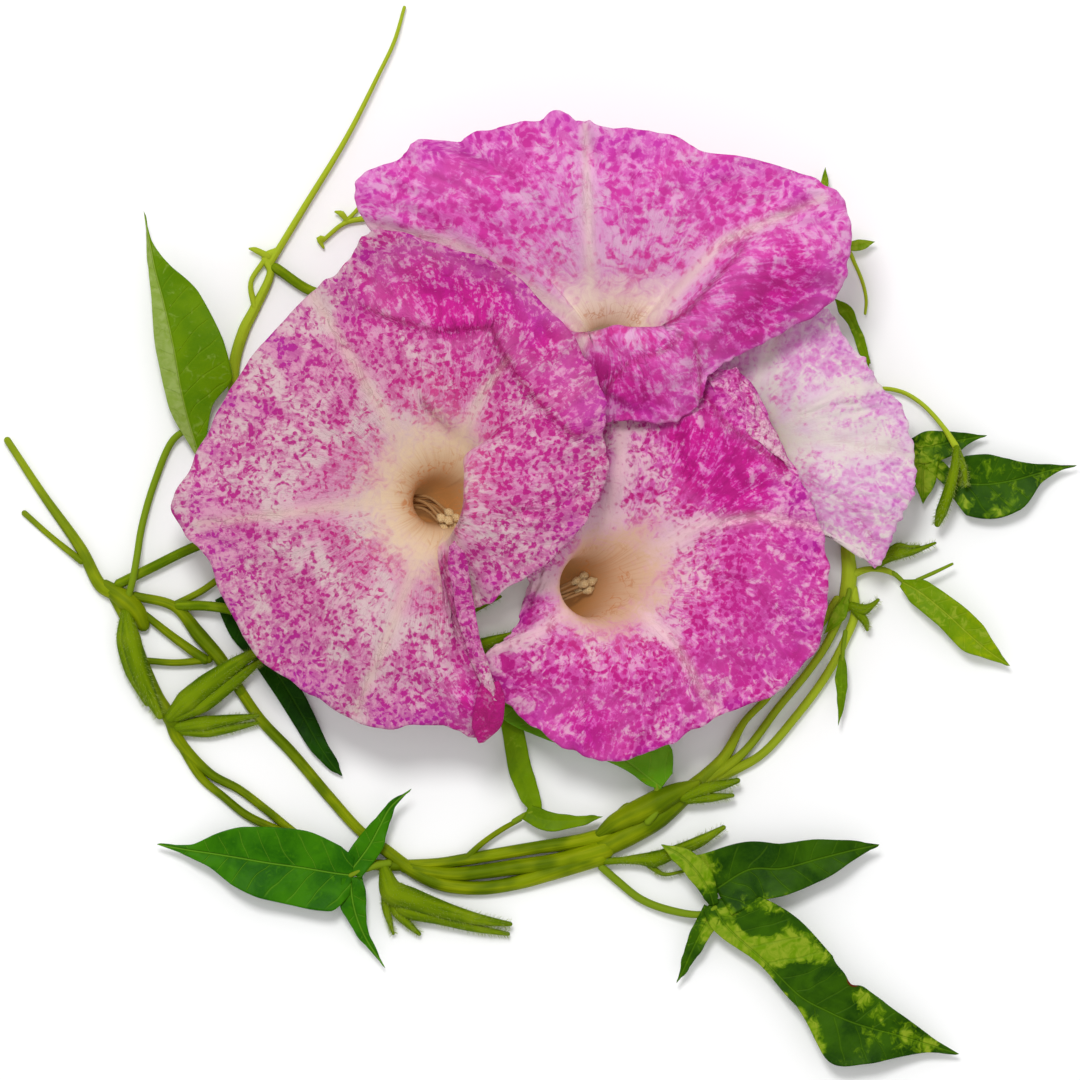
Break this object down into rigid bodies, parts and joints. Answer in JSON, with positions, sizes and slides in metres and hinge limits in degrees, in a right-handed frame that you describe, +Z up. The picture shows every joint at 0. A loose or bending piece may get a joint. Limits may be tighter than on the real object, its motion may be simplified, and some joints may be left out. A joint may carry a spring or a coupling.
{
  "type": "morning glory vine",
  "caption": "Cut spray of morning glory lying flat: speckled pink trumpet blooms over a loose ring of green vine with lobed leaves, hairy calyxes and tendrils.",
  "frame": {"origin": "on the surface that the vine lies on, under the middle of its outline", "axes": "+Z up, towards the open faces of the blooms; +X and +Y in the surface, with the long upper tendril at +Y and the dark right leaf at +X"},
  "size_m": [0.2688, 0.2652, 0.0457],
  "materials": {
    "petal": "matte, speckled magenta over pale pink, with cream ribs and throat",
    "cream": "matte, pale cream",
    "stem": "smooth, satin, yellow-green",
    "hairy_green": "matte, finely hairy, mid green",
    "leaf": "satin, dark green with yellow-green veins",
    "leaf_variegated": "satin, dark green with yellow-green and pale patches"
  },
  "bodies": {
    "root": {"vine_stems": "stem", "corolla_left": "petal", "calyx_left": "hairy_green", "stamens_left": "cream", "corolla_upper": "petal", "calyx_upper": "hairy_green", "stamens_upper": "cream", "corolla_middle": "petal", "calyx_middle": "hairy_green", "stamens_middle": "cream", "corolla_right": "petal", "calyx_right": "hairy_green", "stamens_right": "cream", "calyx_left_upper": "hairy_green", "calyx_left_long": "hairy_green", "calyx_left_lower": "hairy_green", "calyx_at_arrow_leaf": "hairy_green", "calyx_front_right": "hairy_green", "calyx_at_big_leaf": "hairy_green", "bract_right": "hairy_green", "calyx_right_twig": "hairy_green", "bud_right": "hairy_green", "leaf_arrow": "leaf", "leaf_folded": "leaf", "leaf_dark_narrow": "leaf", "leaf_under_middle": "leaf", "leaf_bent": "leaf", "leaf_variegated": "leaf_variegated", "leaf_spray_right": "leaf", "leaf_right_light": "leaf_variegated", "leaf_spindle": "leaf", "leaf_strip": "leaf", "leaf_tip_top": "leaf", "leaf_bud_right": "leaf", "leaf_at_right_stem": "leaf"}
  },
  "joints": []
}
